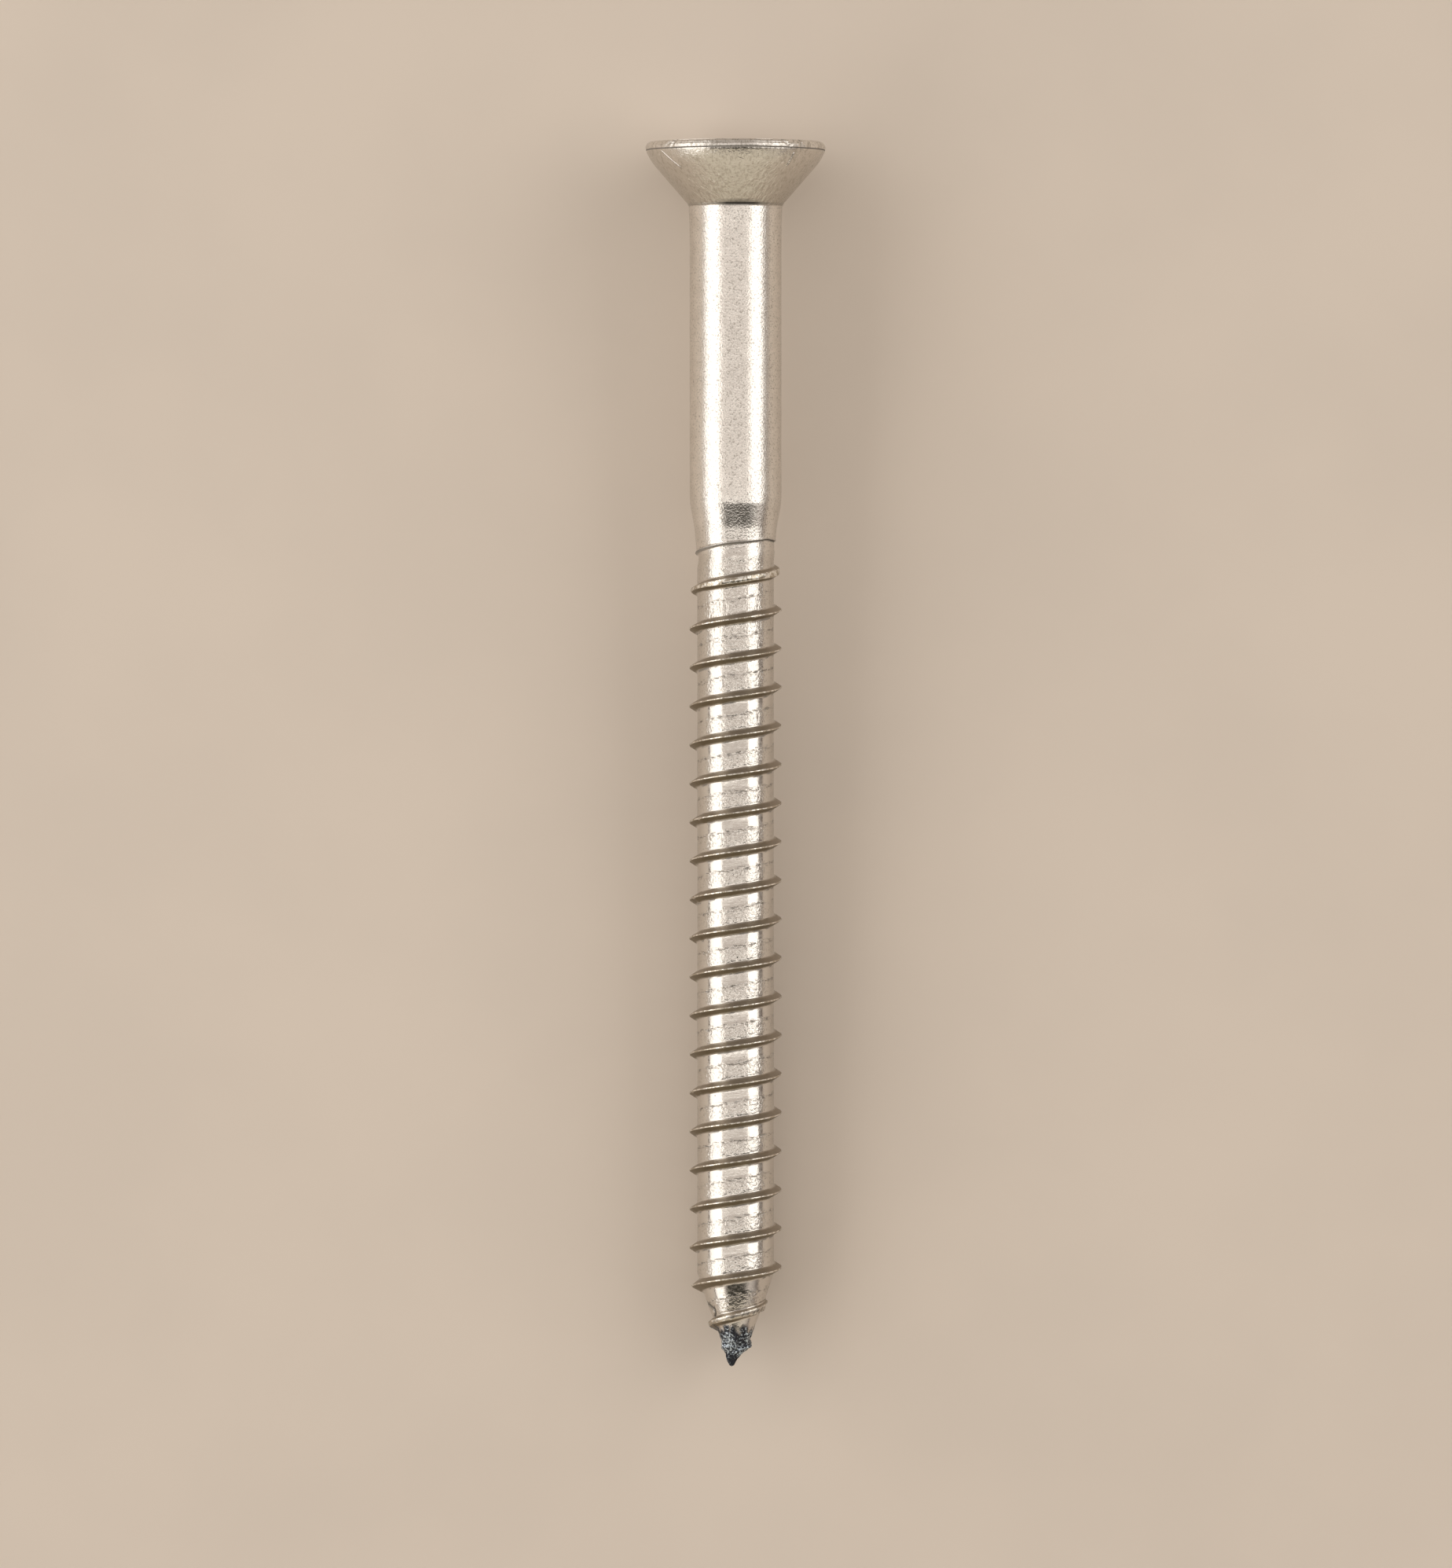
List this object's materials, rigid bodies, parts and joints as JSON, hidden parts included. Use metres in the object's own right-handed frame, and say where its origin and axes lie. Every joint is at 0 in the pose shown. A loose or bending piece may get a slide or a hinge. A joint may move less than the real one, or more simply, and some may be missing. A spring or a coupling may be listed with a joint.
{
  "type": "wood screw",
  "caption": "Countersunk wood screw with a plain shank, a right-hand rolled thread, a gimlet point and a cross recess.",
  "frame": {"origin": "centre of the head's flat top face, on the screw's axis", "axes": "+Y along the screw's axis out of the head, so the point is at -Y; +X and +Z across the screw"},
  "size_m": [0.0108, 0.0731, 0.0108],
  "materials": {
    "stainless_steel": "satin, as drawn and rolled, with a polished thread root and a rough dark point"
  },
  "bodies": {
    "root": {"wood_screw": "stainless_steel"}
  },
  "joints": []
}
